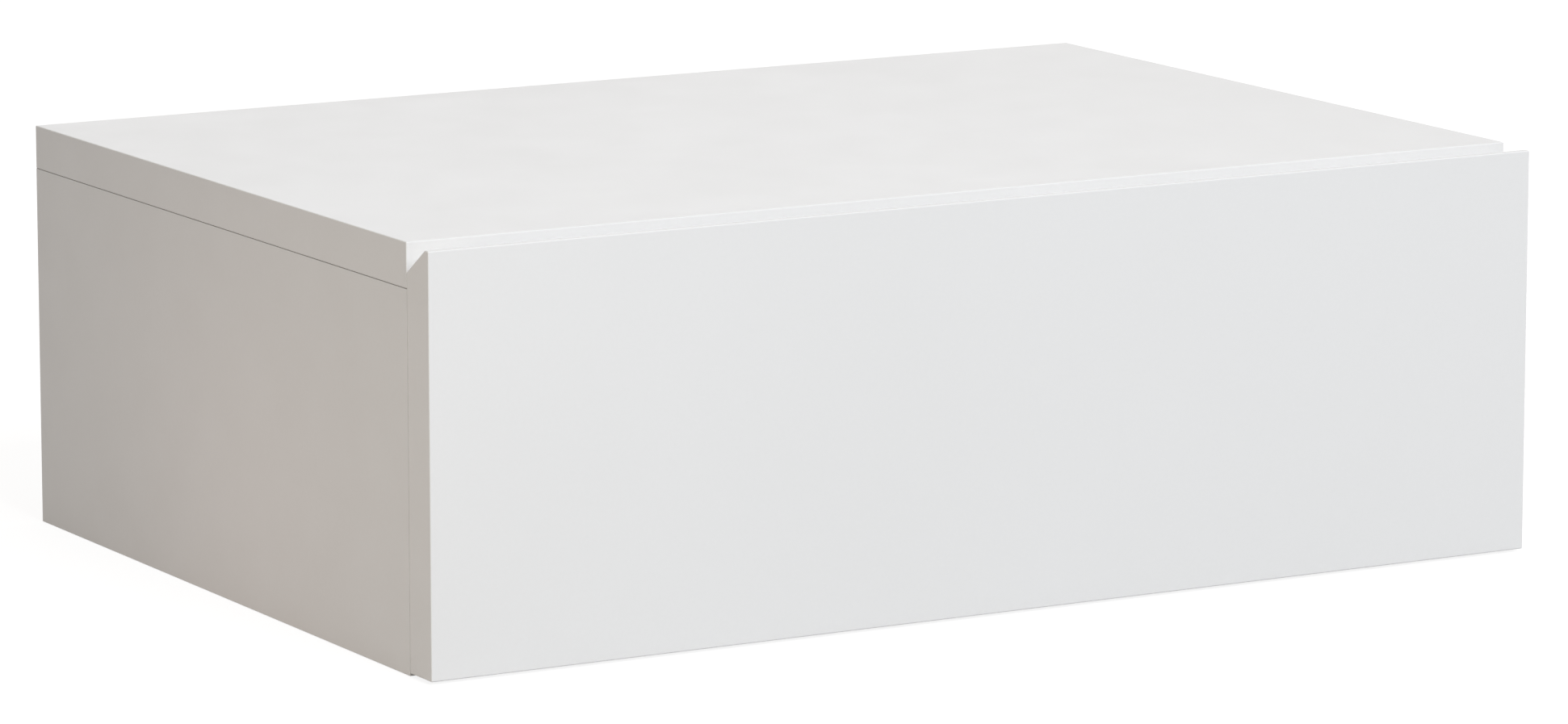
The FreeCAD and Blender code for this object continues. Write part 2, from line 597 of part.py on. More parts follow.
MIDDLE_V = f"({OUTER_BALL_V} - sizes.ball_outer / 2 - sizes.ball_play)"
INNER_BALL_V = f"({MIDDLE_V} - sizes.slide_sheet - sizes.ball_play - sizes.ball_inner / 2)"
DRAWER_MEMBER_V = f"({INNER_BALL_V} - sizes.ball_inner / 2 - sizes.ball_play)"
OUTER_BALL_U = f"({CABINET_END} / 2)"
INNER_BALL_U = f"(({MIDDLE_WEB} + {MIDDLE_END}) / 2)"
MIDDLE_TRAVEL = f"({SLIDE_TRAVEL} / 2)"
CAGE_TRAVEL = f"({MIDDLE_TRAVEL} / 2)"
CAGE_START = f"({CAGE_TRAVEL} + sizes.cage_end_gap)"
CAGE_LENGTH = f"({SLIDE_LENGTH} - 2 * {CAGE_START})"
BALL_COUNT = "round(sizes.ball_count)"
BALL_ROW = f"({CAGE_LENGTH} - 2 * sizes.ball_end)"
LEVER_LOW = f"({MIDDLE_END} - sizes.lever_sheet)"
LARGEST_BEND = 0.4  # share of the sheet thickness that a rounding may take


def slide_place(side, across_slide, along, level="0"):
    """Place in a slide, from the depth u, the distance behind the slide's front and the level v."""
    return (f"({SIDES[side]} * ({INNER_HALF} - {across_slide}))", f"({SLIDE_FRONT} + {along})",
            f"({SLIDE_LEVEL} + {level})")


def channel(web, end, half, sheet, lip=None):
    """Outline of a channel from its web's outer face to the end of its flanges."""
    out, back = ("+", "-") if sizes.evalExpression(f"{end} - {web}") > 0 else ("-", "+")
    inside = f"({half} - {sheet})"
    upper = [(f"({web} {out} {sheet})", inside)]
    if lip:
        fold, lip_end = f"({end} {back} {sheet})", f"({inside} - {lip})"
        upper += [(fold, inside), (fold, lip_end), (end, lip_end)]
    else:
        upper += [(end, inside)]
    upper += [(end, half), (web, half)]
    return upper + [(u, f"(-{v})") for u, v in reversed(upper)]


def runs_along_slide(edge):
    return abs(edge.tangentAt(edge.FirstParameter).dot(NORMALS["rear"])) > PARALLEL


class SlideMember(Piece):
    """A folded channel that runs along a slide."""

    def __init__(self, label, side, outline, start="0", length=SLIDE_LENGTH, bend=True):
        super().__init__(label, slide_place(side, "0", start))
        sketch = self.sketch(Y_AXIS)
        draw_outline(sketch, [(f"({-SIDES[side]} * {u})", v) for u, v in outline])
        pad = self.pad(sketch, length, against_normal=True)
        if bend:
            radius = f"min(sizes.bend_radius; {LARGEST_BEND} * sizes.slide_sheet)"
            self.round_edges(pad, radius, runs_along_slide)


def make_slide(side):
    """Members, cages, balls and lever of the slide on one side."""
    inward = OPPOSITE[side]
    cabinet = SlideMember(f"{side}_slide_cabinet_member", side,
                          channel("0", CABINET_END, CABINET_V, "sizes.slide_sheet", "sizes.lip"))
    SlideMember(f"{side}_slide_middle_member", side,
                channel(MIDDLE_WEB, MIDDLE_END, MIDDLE_V, "sizes.slide_sheet", "sizes.lip"))
    drawer_outline = channel("sizes.slide_space", DRAWER_MEMBER_END, DRAWER_MEMBER_V, "sizes.slide_sheet")
    member = SlideMember(f"{side}_slide_drawer_member", side, drawer_outline)

    screw_hole = hole_for("sizes.screw")
    board_depth = "(sizes.slide_screw_length - sizes.slide_sheet + sizes.hole_end)"
    for along in ("sizes.case_screw_front", f"({SLIDE_LENGTH} - sizes.case_screw_rear)"):
        head = slide_place(side, "sizes.slide_sheet", along)
        mouth = slide_place(side, "0", along)
        cabinet.countersink(inward, head, "sizes.slide_sheet")
        side_panels[side].drill(inward, mouth, screw_hole, board_depth)
        case_slide_screws.append((head, facing(NORMALS[inward], NORMALS["top"])))
    for along in ("sizes.drawer_screw_front", f"({SLIDE_LENGTH} - sizes.drawer_screw_rear)"):
        head = slide_place(side, DRAWER_WEB, along)
        mouth = slide_place(side, "sizes.slide_space", along)
        member.countersink(side, head, "sizes.slide_sheet")
        drawer_sides[side].drill(side, mouth, screw_hole, board_depth)
        drawer_slide_screws.append((head, facing(NORMALS[side], NORMALS["top"])))

    make_cage(side, "outer", CAGE_WEB, f"({CABINET_END} - sizes.slide_sheet - sizes.slide_play)",
              OUTER_BALL_U, OUTER_BALL_V)
    make_cage(side, "inner", INNER_CAGE_WEB, f"({MIDDLE_END} - sizes.slide_sheet - sizes.slide_play)",
              INNER_BALL_U, INNER_BALL_V)
    make_lever(side)


def make_cage(side, row, web, end, ball_u, ball_v):
    """Thin channel with a hole for each ball, and the balls in its two rows."""
    half = f"({ball_v} + sizes.cage_sheet / 2)"
    cage = SlideMember(f"{side}_{row}_ball_cage", side, channel(web, end, half, "sizes.cage_sheet"),
                       CAGE_START, CAGE_LENGTH, bend=False)
    sketch = cage.sketch(Z_AXIS, half)
    diameter = f"(sizes.ball_{row} + 2 * sizes.ball_play)"
    draw_circle(sketch, (f"({-SIDES[side]} * {ball_u})", "sizes.ball_end"), diameter)
    hole = cage.pocket(sketch, f"(2 * {half})")
    holes = cage.body.newObject("PartDesign::LinearPattern", f"{cage.body.Name}_holes")
    holes.Originals = [hole]
    holes.Direction = (sketch, ["V_Axis"])
    holes.setExpression("Length", BALL_ROW)
    holes.setExpression("Occurrences", BALL_COUNT)
    cage.body.Tip = holes

    places = []
    for number in range(round(sizes.ball_count)):
        along = f"({CAGE_START} + sizes.ball_end + {number} * {BALL_ROW} / ({BALL_COUNT} - 1))"
        for level in (ball_v, f"(-{ball_v})"):
            places.append((slide_place(side, ball_u, along, level), Rotation()))
    group(f"{side}_{row}_balls", balls[row], places)


def make_lever(side):
    """Release lever between the web of the drawer member and the inner cage, hooked at its rear end."""
    near_end = LEVER_LOW if side == "left" else MIDDLE_END
    lever = Piece(f"{side}_release_lever", slide_place(side, near_end, "sizes.lever_place"))
    reach, tip, waist = "(sizes.lever_length / 2)", "(sizes.lever_tip / 2)", "(sizes.lever_waist / 2)"
    hook = f"({reach} - sizes.lever_hook)"
    hook_low = f"(-{tip} - sizes.lever_hook_drop)"
    sketch = lever.sketch(X_AXIS)
    front_end = f"(-{reach})"
    lower_edge = [(front_end, f"(-{tip})"), ("0", f"(-{waist})"), (hook, f"(-{tip})"), (hook, hook_low)]
    upper_edge = [(reach, hook_low), (reach, tip), ("0", waist), (front_end, tip)]
    draw_outline(sketch, lower_edge + upper_edge)
    lever.pad(sketch, "sizes.lever_sheet")
    bore = lever.sketch(X_AXIS)
    draw_circle(bore, ("0", "0"), "(sizes.pivot + 2 * sizes.pivot_play)")
    lever.pocket(bore, "sizes.lever_sheet", along_normal=True)
    foot = slide_place(side, DRAWER_WEB, "sizes.lever_place")
    pivots.append((foot, facing(NORMALS[side], NORMALS["top"])))


def make_screw(label, length, head_height):
    """Countersunk screw with its head's face on the plane Z = 0 and its tip below."""
    screw = Piece(label, kept=False)
    shank, head = "(sizes.screw / 2)", "(sizes.screw_head / 2)"
    screw.revolve([("0", "0"), (head, "0"), (shank, f"(-{head_height})"),
                   (shank, f"(-{length} + sizes.screw_tip)"), ("0", f"(-{length})")])
    recess = screw.sketch(Z_AXIS)
    draw_outline(recess, cross("sizes.recess", "sizes.recess_width"))
    screw.pocket(recess, "sizes.recess_depth")
    return screw.body


def make_cam(label, diameter, board):
    """Cam lock with its face on the plane Z = 0; its bolt comes in along X."""
    axis_depth = f"({board} / 2 - sizes.cam_sink)"
    cam = Piece(label, kept=False)
    disc = cam.sketch(Z_AXIS)
    draw_circle(disc, ("0", "0"), diameter)
    cam.pad(disc, f"({axis_depth} + sizes.cam_floor)", against_normal=True)
    way = cam.sketch(X_AXIS, "(-sizes.bolt_head / 2)")
    draw_circle(way, ("0", f"(-{axis_depth})"), BOLT_HOLE)
    cam.pocket(way, diameter, along_normal=True)
    slots = cam.sketch(Z_AXIS)
    draw_outline(slots, cross("sizes.cam_slot", "sizes.cam_slot_width"))
    cam.pocket(slots, "sizes.cam_slot_depth")
    return cam.body


def make_bolt(label):
    """Cam bolt whose stud lies below the joint at Z = 0 and whose head lies in the cam above."""
    stud, shank = "(sizes.bolt_stud / 2)", "(sizes.bolt_shank / 2)"
    neck, head = "(sizes.bolt_neck / 2)", "(sizes.bolt_head / 2)"
    stud_end, collar_end = "(-sizes.bolt_stud_length)", "sizes.bolt_collar_length"
    head_end = "(sizes.cam_setback + sizes.bolt_head_length / 2)"
    neck_end = f"({head_end} - sizes.bolt_head_length)"
    shank_end = f"({neck_end} - sizes.bolt_neck_length)"
    bolt = Piece(label, kept=False)
    bolt.revolve([("0", stud_end), (stud, stud_end), (stud, "0"), (head, "0"), (head, collar_end),
                  (shank, collar_end), (shank, shank_end), (neck, shank_end), (neck, neck_end),
                  (head, neck_end), (head, head_end), ("0", head_end)])
    return bolt.body


def make_rivet(label):
    """Rivet standing on the plane Z = 0, with its head at the upper end."""
    shank, head = "(sizes.pivot / 2)", "(sizes.pivot_head / 2)"
    seat = "(sizes.lever_sheet + 2 * sizes.slide_play)"
    end = f"({seat} + sizes.pivot_head_height)"
    rivet = Piece(label, kept=False)
    rivet.revolve([("0", "0"), (shank, "0"), (shank, seat), (head, seat), (head, end), ("0", end)])
    return rivet.body


def make_round(kind, label, bindings):
    """Plain sphere or cylinder that a group copies."""
    solid = doc.addObject(kind, label)
    for name, expression in bindings.items():
        solid.setExpression(name, expression)
    return solid


# Slides, then the drillings that all joints have asked for
balls = {row: make_round("Part::Sphere", f"{row}_ball", {"Radius": f"sizes.ball_{row} / 2"})
         for row in ("outer", "inner")}
case_slide_screws, drawer_slide_screws, pivots = [], [], []
for side in SIDES:
    make_slide(side)
for board in (top_panel, bottom_panel, *side_panels.values(), wall_rail, back_panel,
              drawer_front, *drawer_sides.values(), drawer_back, drawer_bottom):
    board.drill_all()

# Fasteners and pads
bolt = make_bolt("cam_bolt")
for name, joinery, thickness in (("case", case_joinery, "sizes.board"),
                                 ("drawer", drawer_joinery, "sizes.drawer_board")):
    dowel = make_round("Part::Cylinder", f"{name}_dowel",
                       {"Radius": f"{joinery.dowel} / 2", "Height": "sizes.dowel_length"})
    group(f"{name}_cam_locks", make_cam(f"{name}_cam", joinery.cam, thickness), joinery.cam_places)
    group(f"{name}_cam_bolts", bolt, joinery.bolt_places)
    group(f"{name}_dowels", dowel, joinery.dowel_places)
slide_screw = make_screw("slide_screw", "sizes.slide_screw_length", "sizes.slide_sheet")
back_screw = make_screw("back_screw", "sizes.back_screw_length", "sizes.screw_head_height")
bottom_screw = make_screw("bottom_screw", "sizes.bottom_screw_length", "sizes.screw_head_height")
group("case_slide_screws", slide_screw, case_slide_screws)
group("drawer_slide_screws", slide_screw, drawer_slide_screws)
group("drawer_back_screws", back_screw, back_screws)
group("drawer_bottom_screws", bottom_screw, bottom_screws)
group("lever_rivets", make_rivet("lever_rivet"), pivots)
bumper_pad = make_round("Part::Cylinder", "bumper_pad",
                        {"Radius": "sizes.pad_diameter / 2", "Height": "sizes.pad_thickness"})
group("bumper_pads", bumper_pad, bumper_pads)

doc.recompute()
for item in doc.Objects:
    if "Invalid" in item.State or "Error" in item.State:
        raise ValueError(f"{item.Label} was not computed: {item.State}")
for cut in cuts:
    if cut.BaseFeature.Shape.Volume - cut.Shape.Volume < LEAST_CUT:
        raise ValueError(f"{cut.Label} removes nothing")

os.makedirs("parts", exist_ok=True)
for part in sub_parts:
    if part.Shape.isNull() or not part.Shape.isValid():
        raise ValueError(f"{part.Label} has no valid shape")
    part.Shape.exportStep(f"parts/{part.Label}.step")
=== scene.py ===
import json
import math

import bpy
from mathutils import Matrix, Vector


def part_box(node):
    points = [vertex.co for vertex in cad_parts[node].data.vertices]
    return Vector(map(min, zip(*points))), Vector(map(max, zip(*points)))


# A white wall-hung nightstand with one drawer, seen from its left front corner, slightly from above.
# Lengths are in metres and colours are linear. A pattern's scale is its number of features in a metre.

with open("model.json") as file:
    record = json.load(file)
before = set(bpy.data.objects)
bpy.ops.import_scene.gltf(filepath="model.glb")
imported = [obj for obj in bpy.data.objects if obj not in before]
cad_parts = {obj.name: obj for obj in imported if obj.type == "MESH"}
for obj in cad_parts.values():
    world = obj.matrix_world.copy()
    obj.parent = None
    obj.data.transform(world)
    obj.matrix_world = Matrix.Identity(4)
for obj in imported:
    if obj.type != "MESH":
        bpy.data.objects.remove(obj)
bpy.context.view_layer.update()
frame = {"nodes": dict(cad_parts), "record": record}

MM = 0.001
WHITE = (1.0, 1.0, 1.0)

# Camera
CAMERA_AZIMUTH = math.radians(-29.709)
CAMERA_ELEVATION = math.radians(10.343)
CAMERA_DISTANCE = 2.798
CAMERA_AIM = Vector((0.002, -0.003, 0.066))
CAMERA_LENS = 173.85  # millimetres on a sensor 36 mm wide

# Light: a large key lamp in front, weak ones on the right and behind, small warm ones near the left side
AMBIENT = (0.44, 0.412, 0.385)
LAMP_AIM = Vector((0, 0, 0.08))
COOL = (0.95, 0.97, 1.0)
LAMPS = {
    "key": {"place": (0.3, -3.0, 2.2), "size": 2.0, "power": 96.5, "colour": (0.912, 0.955, 1.0)},
    "right": {"place": (2.6, 0.4, 1.3), "size": 1.4, "power": 15.0, "colour": COOL},
    "rear": {"place": (1.0, 2.5, 1.4), "size": 1.6, "power": 7.0, "colour": COOL},
    "side": {"place": (-0.75, -0.35, 0.1), "size": 0.16, "power": 0.512, "colour": (1.0, 0.875, 0.7)},
    "low": {"place": (-0.38, -0.02, 0.03), "size": 0.05, "power": 0.0165, "colour": (1.0, 0.75, 0.68)},
}

# Floor
FLOOR_DROP = 0.2 * MM
FLOOR_REACH = 14.0
FLOOR_TONE = 0.38  # with which it sends light back to the object
FLOOR_GLOW = 0.86  # share of its white that no shadow takes away
SHADOW_SHARE = 0.24  # tone of the part that takes shadows

# Boards: a white film or edge band over particle board
FILM_WHITE = (0.815, 0.815, 0.815)
FILM_SHADE = (0.795, 0.795, 0.793)
FILM_DEPTH = 0.25 * MM  # under a coated side, below which the core shows
JOINT_SHADE_WIDTH = 0.2 * MM  # width of the painted joint shade, a dark grey strip along a sawn edge that stands for the shadow in the joint
# painted joint shade: the dark and pale greys of the strip along sawn edges, standing for the shadow where
# boards meet
JOINT_SHADE_DARK = (0.29, 0.29, 0.285)
JOINT_SHADE_PALE = (0.40, 0.40, 0.395)
BEVEL_HEIGHT = 9.3 * MM  # of the drawer front's upper edge
CHIP_COLOURS = ((0.12, (0.20, 0.12, 0.06)), (0.3, (0.38, 0.26, 0.145)), (0.6, (0.54, 0.40, 0.245)),
                (0.85, (0.68, 0.54, 0.36)))
CHIP_FLATNESS = 4.0  # length of a chip over its thickness
FINE_LAYER = 0.12  # share of a board's thickness that fine chips take up under each face
COARSE_LAYER = 0.3  # share of the thickness below which the chips are coarse
SAWN_EDGES = {
    "top_panel": ("rear",),
    "bottom_panel": ("left", "right", "rear"),
    "left_side_panel": ("top", "rear"),
    "right_side_panel": ("top", "rear"),
    "wall_rail": ("left", "right", "bottom", "top"),
    "drawer_front": (),
    "drawer_left_side": ("front", "rear", "bottom"),
    "drawer_right_side": ("front", "rear", "bottom"),
    "drawer_back": ("left", "right", "bottom"),
}

# Thin panels: hardboard with white lacquer on one side
LACQUER_DEPTH = 0.1 * MM  # under the lacquered side, below which the fibres show
LACQUERED_SIDES = {"back_panel": "front", "drawer_bottom": "top"}
FIBRE_COLOURS = ((0.3, (0.20, 0.115, 0.06)), (0.5, (0.31, 0.19, 0.105)), (0.7, (0.41, 0.27, 0.155)))
SCREEN_PITCH = 1.9 * MM  # between the marks that a wire screen leaves on the rough side

# Sides of a box: the number of the axis across each, and whether it is the higher end
BOX_SIDES = {"left": (0, False), "right": (0, True), "front": (1, False), "rear": (1, True),
             "bottom": (2, False), "top": (2, True)}

# Sockets of a mix node, by number because several of them have one name
MIX_SHARE = 0
MIX_NUMBERS = (2, 3)
MIX_NUMBER_RESULT = 0
MIX_COLOURS = (6, 7)
MIX_COLOUR_RESULT = 2

NOISE_RANGE = (0.3, 0.7)  # values that most of a noise lies between


def grey(tone):
    return (tone, tone, tone)


class Nodes:
    """Short calls that add nodes to a node tree."""

    def __init__(self, tree):
        self.tree = tree

    def feed(self, node, socket, value):
        """Sets a socket to a constant, or links it to another node's output."""
        target = node.inputs[socket]
        if isinstance(value, bpy.types.NodeSocket):
            self.tree.links.new(value, target)
        elif target.type == "RGBA":
            target.default_value = (*value, 1.0)
        else:
            target.default_value = value

    def node(self, kind, inputs, **settings):
        node = self.tree.nodes.new(kind)
        for name, value in settings.items():
            setattr(node, name, value)
        for socket, value in inputs.items():
            self.feed(node, socket, value)
        return node

    def compute(self, operation, first, second):
        return self.node("ShaderNodeMath", {0: first, 1: second}, operation=operation).outputs[0]

    def mix(self, first, second, share):
        """Colour between two colours."""
        inputs = {MIX_SHARE: share, MIX_COLOURS[0]: first, MIX_COLOURS[1]: second}
        return self.node("ShaderNodeMix", inputs, data_type="RGBA").outputs[MIX_COLOUR_RESULT]

    def blend(self, first, second, share):
        """Number between two numbers."""
        inputs = {MIX_SHARE: share, MIX_NUMBERS[0]: first, MIX_NUMBERS[1]: second}
        return self.node("ShaderNodeMix", inputs).outputs[MIX_NUMBER_RESULT]

    def seen_directly(self):
        """1 for rays from the camera and for mirrored or refracted ones, and 0 for the rest."""
        rays = self.node("ShaderNodeLightPath", {}).outputs
        mirrored = self.compute("MAXIMUM", rays["Is Glossy Ray"], rays["Is Transmission Ray"])
        return self.compute("MAXIMUM", rays["Is Camera Ray"], mirrored)


class Surface(Nodes):
    """A material around one principled shader, with its patterns placed in the object's frame."""

    def __init__(self, name, **constants):
        self.material = bpy.data.materials.new(name)
        self.material.use_nodes = True
        super().__init__(self.material.node_tree)
        self.shader = self.tree.nodes["Principled BSDF"]
        for socket, value in constants.items():
            self.feed(self.shader, socket.replace("_", " "), value)
        self.point = self.node("ShaderNodeTexCoord", {}).outputs["Object"]
        self.along = self.node("ShaderNodeSeparateXYZ", {0: self.point}).outputs

    def place(self, stretch):
        """The point with each axis scaled."""
        if stretch is None:
            return self.point
        inputs = {0: self.point, 1: stretch}
        return self.node("ShaderNodeVectorMath", inputs, operation="MULTIPLY").outputs[0]

    def noise(self, scale, detail=2.0, stretch=None):
        """Soft random values, with a number of finer layers on top."""
        inputs = {"Vector": self.place(stretch), "Scale": scale, "Detail": detail}
        return self.node("ShaderNodeTexNoise", inputs).outputs["Fac"]

    def cells(self, scale, stretch):
        """A random value for each cell of a broken-up grid."""
        inputs = {"Vector": self.place(stretch), "Scale": scale}
        colour = self.node("ShaderNodeTexVoronoi", inputs).outputs["Color"]
        return self.node("ShaderNodeSeparateColor", {"Color": colour}).outputs[0]

    def screen_marks(self, axes):
        """Rows of small dents that a wire screen leaves, along two axes."""
        rows = []
        for axis in axes:
            turns = self.compute("MULTIPLY", self.along[axis], math.tau / SCREEN_PITCH)
            rows.append(self.compute("SINE", turns, 0.0))
        return self.compute("MULTIPLY", *rows)

    def spread(self, value, low, high, source=NOISE_RANGE):
        """A value in a source range, spread over low to high."""
        start, end = source
        inputs = {"Value": value, "From Min": start, "From Max": end, "To Min": low, "To Max": high}
        return self.node("ShaderNodeMapRange", inputs).outputs["Result"]

    def share(self, value, source=NOISE_RANGE):
        """A value in a source range, spread over 0 to 1."""
        return self.spread(value, 0.0, 1.0, source)

    def two_tone(self, pattern, dark, pale):
        """Colour that runs from dark to pale with a pattern."""
        return self.mix(dark, pale, self.share(pattern))

    def ramp(self, value, stops):
        """Colour that runs through stops given as place and colour."""
        node = self.node("ShaderNodeValToRGB", {"Fac": value})
        elements = node.color_ramp.elements
        while len(elements) < len(stops):
            elements.new(1.0)
        for element, (place, colour) in zip(elements, stops):
            element.position = place
            element.color = (*colour, 1.0)
        return node.outputs["Color"]

    def relief(self, pattern, height):
        """Height of a pattern in millimetres."""
        return self.compute("MULTIPLY", pattern, height)

    def depth_under(self, low, high, sides):
        """How far the point lies under the nearest of some sides of a box."""
        depths = []
        for side in sides:
            axis, at_high_end = BOX_SIDES[side]
            ends = (high[axis], self.along[axis]) if at_high_end else (self.along[axis], low[axis])
            depths.append(self.compute("SUBTRACT", *ends))
        nearest = depths[0]
        for depth in depths[1:]:
            nearest = self.compute("MINIMUM", nearest, depth)
        return nearest

    def finish(self, colour, roughness, relief):
        """Feeds the shader; the relief is a height in millimetres."""
        self.feed(self.shader, "Base Color", colour)
        self.feed(self.shader, "Roughness", roughness)
        bump = self.node("ShaderNodeBump", {"Height": relief, "Distance": MM})
        self.feed(self.shader, "Normal", bump.outputs["Normal"])
        return self.material


def white_film(surface):
    """Colour, roughness and relief of satin white film, with a faint cloud and a fine pearl texture."""
    cloud = surface.noise(scale=6.0, detail=3.0)
    grain = surface.noise(scale=700.0, detail=3.0)
    colour = surface.two_tone(surface.blend(cloud, grain, share=0.4), dark=FILM_SHADE, pale=FILM_WHITE)
    roughness = surface.spread(surface.noise(scale=50.0, detail=4.0), low=0.50, high=0.58)
    relief = surface.relief(surface.noise(scale=1500.0), height=0.006)
    return colour, roughness, relief


def particle_core(surface, low, high):
    """Colour, roughness and relief of pressed chips, which lie flat and are finer under a board's faces."""
    size = high - low
    thickness = min(size)
    thin_axis = list(size).index(thickness)
    faces = [side for side, (axis, _) in BOX_SIDES.items() if axis == thin_axis]
    stretch = [1.0, 1.0, 1.0]
    stretch[thin_axis] = CHIP_FLATNESS
    fine_chips = surface.cells(scale=1100.0, stretch=stretch)
    coarse_chips = surface.cells(scale=380.0, stretch=stretch)
    depth = surface.depth_under(low, high, faces)
    coarse = surface.share(depth, source=(FINE_LAYER * thickness, COARSE_LAYER * thickness))
    chips = surface.blend(fine_chips, coarse_chips, share=coarse)
    dust = surface.noise(scale=2600.0, detail=3.0)
    colour = surface.ramp(surface.blend(chips, dust, share=0.4), CHIP_COLOURS)
    roughness = surface.spread(dust, low=0.75, high=0.95)
    relief = surface.relief(chips, height=0.12)
    return colour, roughness, relief


def board(node):
    """White board whose core shows in holes and grooves and on its sawn edges, with painted joint shade as
    a thin dark grey strip along the sawn edges.
    """
    surface = Surface(node)
    low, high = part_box(node)
    core_colour, core_roughness, core_relief = particle_core(surface, low, high)
    if node == "drawer_front":
        high.z -= BEVEL_HEIGHT
    sawn = SAWN_EDGES[node]
    coated = [side for side in BOX_SIDES if side not in sawn]
    core = surface.compute("GREATER_THAN", surface.depth_under(low, high, coated), FILM_DEPTH)
    film_colour, film_roughness, film_relief = white_film(surface)
    if sawn:
        # painted joint shade: a thin dark grey strip along the sawn edges, in place of the shadow in the
        # joint
        painted_joint_shade = surface.compute("LESS_THAN", surface.depth_under(low, high, sawn), JOINT_SHADE_WIDTH)
        joint_shade_colour = surface.mix(JOINT_SHADE_DARK, JOINT_SHADE_PALE, share=surface.noise(scale=900.0))
        film_colour = surface.mix(film_colour, joint_shade_colour, share=painted_joint_shade)
    return surface.finish(surface.mix(film_colour, core_colour, share=core),
                          surface.blend(film_roughness, core_roughness, share=core),
                          surface.blend(film_relief, core_relief, share=core))


def fibreboard(node):
    """Thin brown hardboard, lacquered white on the side that faces the inside."""
    surface = Surface(node)
    low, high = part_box(node)
    lacquered_side = LACQUERED_SIDES[node]
    depth = surface.depth_under(low, high, [lacquered_side])
    lacquer = surface.compute("LESS_THAN", depth, LACQUER_DEPTH)
    film_colour, film_roughness, film_relief = white_film(surface)
    felt = surface.noise(scale=700.0, detail=8.0)
    cloud = surface.noise(scale=18.0, detail=4.0)
    fibres = surface.ramp(surface.blend(felt, cloud, share=0.35), FIBRE_COLOURS)
    roughness = surface.spread(felt, low=0.5, high=0.68)
    across, _ = BOX_SIDES[lacquered_side]
    marks = surface.screen_marks([axis for axis in range(len(low)) if axis != across])
    relief = surface.blend(surface.relief(felt, height=0.08), surface.relief(marks, height=0.08), share=0.5)
    return surface.finish(surface.mix(fibres, film_colour, share=lacquer),
                          surface.blend(roughness, film_roughness, share=lacquer),
                          surface.blend(relief, film_relief, share=lacquer))


def dowel_wood(node):
    """Beech with fine grain and short dark flecks."""
    surface = Surface(node)
    grain = surface.noise(scale=900.0, detail=4.0, stretch=(1.0, 1.0, 0.12))
    specks = surface.noise(scale=1500.0, detail=1.0, stretch=(1.0, 1.0, 0.2))
    wood = surface.two_tone(grain, dark=(0.47, 0.31, 0.18), pale=(0.62, 0.45, 0.29))
    fleck_colour = (0.30, 0.17, 0.085)
    colour = surface.mix(wood, fleck_colour, share=surface.share(specks, source=(0.62, 0.7)))
    roughness = surface.spread(grain, low=0.55, high=0.7)
    return surface.finish(colour, roughness, surface.relief(grain, height=0.03))


def zinc_casting(node):
    """Die-cast zinc: dull, mottled and grainy."""
    surface = Surface(node, Metallic=1.0)
    mottle = surface.noise(scale=260.0, detail=4.0)
    grain = surface.noise(scale=2400.0, detail=3.0)
    colour = surface.two_tone(mottle, dark=(0.42, 0.42, 0.43), pale=(0.58, 0.58, 0.58))
    roughness = surface.spread(surface.blend(mottle, grain, share=0.5), low=0.40, high=0.62)
    return surface.finish(colour, roughness, surface.relief(grain, height=0.03))


def screw_steel(node):
    """Bright zinc plate on small steel parts."""
    surface = Surface(node, Metallic=1.0)
    mottle = surface.noise(scale=500.0, detail=3.0)
    scratches = surface.noise(scale=3500.0, stretch=(1.0, 0.25, 1.0))
    colour = surface.two_tone(mottle, dark=(0.56, 0.57, 0.60), pale=(0.68, 0.67, 0.64))
    roughness = surface.spread(surface.blend(mottle, scratches, share=0.5), low=0.20, high=0.36)
    return surface.finish(colour, roughness, surface.relief(scratches, height=0.006))


def slide_steel(node):
    """Zinc-plated strip with streaks along the way that it was rolled."""
    surface = Surface(node, Metallic=1.0)
    streaks = surface.noise(scale=1600.0, detail=4.0, stretch=(1.0, 0.02, 1.0))
    cloud = surface.noise(scale=40.0, detail=4.0)
    plate = surface.two_tone(cloud, dark=(0.54, 0.57, 0.62), pale=(0.66, 0.66, 0.65))
    streak_colour = (0.40, 0.41, 0.43)
    colour = surface.mix(plate, streak_colour, share=surface.spread(streaks, low=0.0, high=0.3))
    roughness = surface.spread(surface.blend(cloud, streaks, share=0.6), low=0.24, high=0.42)
    return surface.finish(colour, roughness, surface.relief(streaks, height=0.008))


def cage_steel(node):
    """Thin, duller strip with a light film of grease."""
    surface = Surface(node, Metallic=1.0)
    smear = surface.noise(scale=120.0, detail=4.0, stretch=(1.0, 0.25, 1.0))
    colour = surface.two_tone(smear, dark=(0.33, 0.33, 0.33), pale=(0.47, 0.47, 0.46))
    roughness = surface.spread(smear, low=0.30, high=0.52)
    return surface.finish(colour, roughness, surface.relief(smear, height=0.01))


def ball_steel(node):
    """Polished bearing steel with a trace of wear."""
    surface = Surface(node, Metallic=1.0)
    wear = surface.noise(scale=1800.0, detail=3.0)
    colour = surface.two_tone(wear, dark=(0.66, 0.66, 0.67), pale=(0.76, 0.76, 0.76))
    roughness = surface.spread(wear, low=0.08, high=0.18)
    return surface.finish(colour, roughness, surface.relief(wear, height=0.002))


def black_plastic(node):
    """Moulded plastic with a fine eroded grain."""
    surface = Surface(node)
    grain = surface.noise(scale=2600.0, detail=3.0)
    cloud = surface.noise(scale=90.0, detail=3.0)
    colour = surface.two_tone(cloud, dark=(0.013, 0.013, 0.014), pale=(0.024, 0.024, 0.025))
    roughness = surface.spread(grain, low=0.42, high=0.58)
    return surface.finish(colour, roughness, surface.relief(grain, height=0.02))


def pad_rubber(node):
    """Clear soft plastic, slightly milky."""
    surface = Surface(node, Transmission_Weight=0.25, IOR=1.49)
    cloud = surface.noise(scale=400.0, detail=3.0)
    colour = surface.two_tone(cloud, dark=(0.74, 0.75, 0.75), pale=(0.84, 0.84, 0.83))
    roughness = surface.spread(cloud, low=0.26, high=0.40)
    return surface.finish(colour, roughness, surface.relief(cloud, height=0.01))


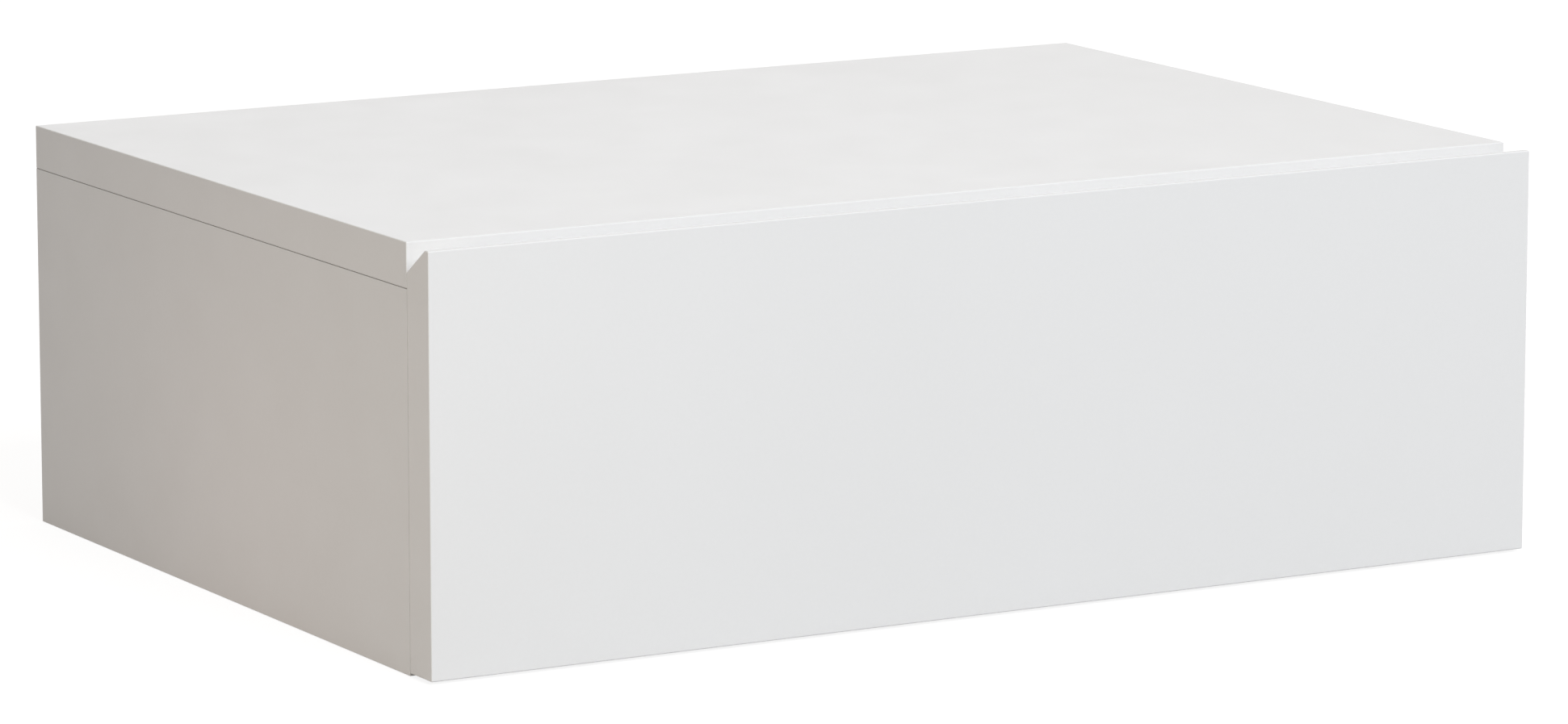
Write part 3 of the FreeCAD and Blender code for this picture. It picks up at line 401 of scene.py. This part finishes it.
FINISHES = {
    "white_board": board,
    "fibreboard": fibreboard,
    "dowel_wood": dowel_wood,
    "zinc_casting": zinc_casting,
    "screw_steel": screw_steel,
    "slide_steel": slide_steel,
    "cage_steel": cage_steel,
    "ball_steel": ball_steel,
    "black_plastic": black_plastic,
    "pad_rubber": pad_rubber,
}
for sub_part in frame["record"]["subparts"]:
    mesh = frame["nodes"][sub_part["node"]].data
    mesh.materials.clear()
    mesh.materials.append(FINISHES[sub_part["material_slot"]](sub_part["node"]))


def make_floor():
    """White floor that keeps the object's shadow, lightened, and sends plain light back up."""
    mesh = bpy.data.meshes.new("floor")
    low, high = -FLOOR_REACH, FLOOR_REACH
    corners = [(x, y, -FLOOR_DROP) for x, y in ((low, low), (high, low), (high, high), (low, high))]
    mesh.from_pydata(corners, [], [range(len(corners))])
    floor = bpy.data.objects.new("floor", mesh)
    bpy.context.scene.collection.objects.link(floor)

    surface = Surface("floor")
    tree = surface.tree
    tree.nodes.remove(surface.shader)
    glow = surface.node("ShaderNodeEmission", {"Color": WHITE, "Strength": FLOOR_GLOW})
    shown = surface.node("ShaderNodeBsdfDiffuse", {"Color": grey(SHADOW_SHARE)})
    white = surface.node("ShaderNodeAddShader", {0: glow.outputs[0], 1: shown.outputs[0]})
    plain = surface.node("ShaderNodeBsdfDiffuse", {"Color": grey(FLOOR_TONE)})
    inputs = {0: surface.seen_directly(), 1: plain.outputs[0], 2: white.outputs[0]}
    choice = surface.node("ShaderNodeMixShader", inputs)
    tree.links.new(choice.outputs[0], tree.nodes["Material Output"].inputs["Surface"])
    mesh.materials.append(surface.material)


def make_world():
    """Even, slightly warm light from all round, with white where it shows itself."""
    world = bpy.data.worlds.new("studio")
    bpy.context.scene.world = world
    world.use_nodes = True
    sky = Nodes(world.node_tree)
    background = world.node_tree.nodes["Background"]
    sky.feed(background, "Color", sky.mix(AMBIENT, WHITE, share=sky.seen_directly()))


def turned_to(aim, place):
    """Rotation of a camera or lamp that looks from its place to an aim."""
    return (aim - place).to_track_quat("-Z", "Y").to_euler()


def make_lamp(name, place, size, power, colour):
    data = bpy.data.lights.new(name, "AREA")
    data.size = size
    data.energy = power
    data.color = colour
    lamp = bpy.data.objects.new(name, data)
    lamp.location = place
    lamp.rotation_euler = turned_to(LAMP_AIM, lamp.location)
    lamp.visible_camera = False
    bpy.context.scene.collection.objects.link(lamp)


def make_camera():
    back = Vector((math.sin(CAMERA_AZIMUTH) * math.cos(CAMERA_ELEVATION),
                   -math.cos(CAMERA_AZIMUTH) * math.cos(CAMERA_ELEVATION),
                   math.sin(CAMERA_ELEVATION)))
    camera = bpy.data.objects.new("camera", bpy.data.cameras.new("camera"))
    camera.data.lens = CAMERA_LENS
    camera.location = CAMERA_AIM + back * CAMERA_DISTANCE
    camera.rotation_euler = turned_to(CAMERA_AIM, camera.location)
    bpy.context.scene.collection.objects.link(camera)
    bpy.context.scene.camera = camera


make_floor()
make_world()
for lamp_name, lamp in LAMPS.items():
    make_lamp(lamp_name, **lamp)
make_camera()
bpy.context.scene.view_settings.view_transform = "Standard"
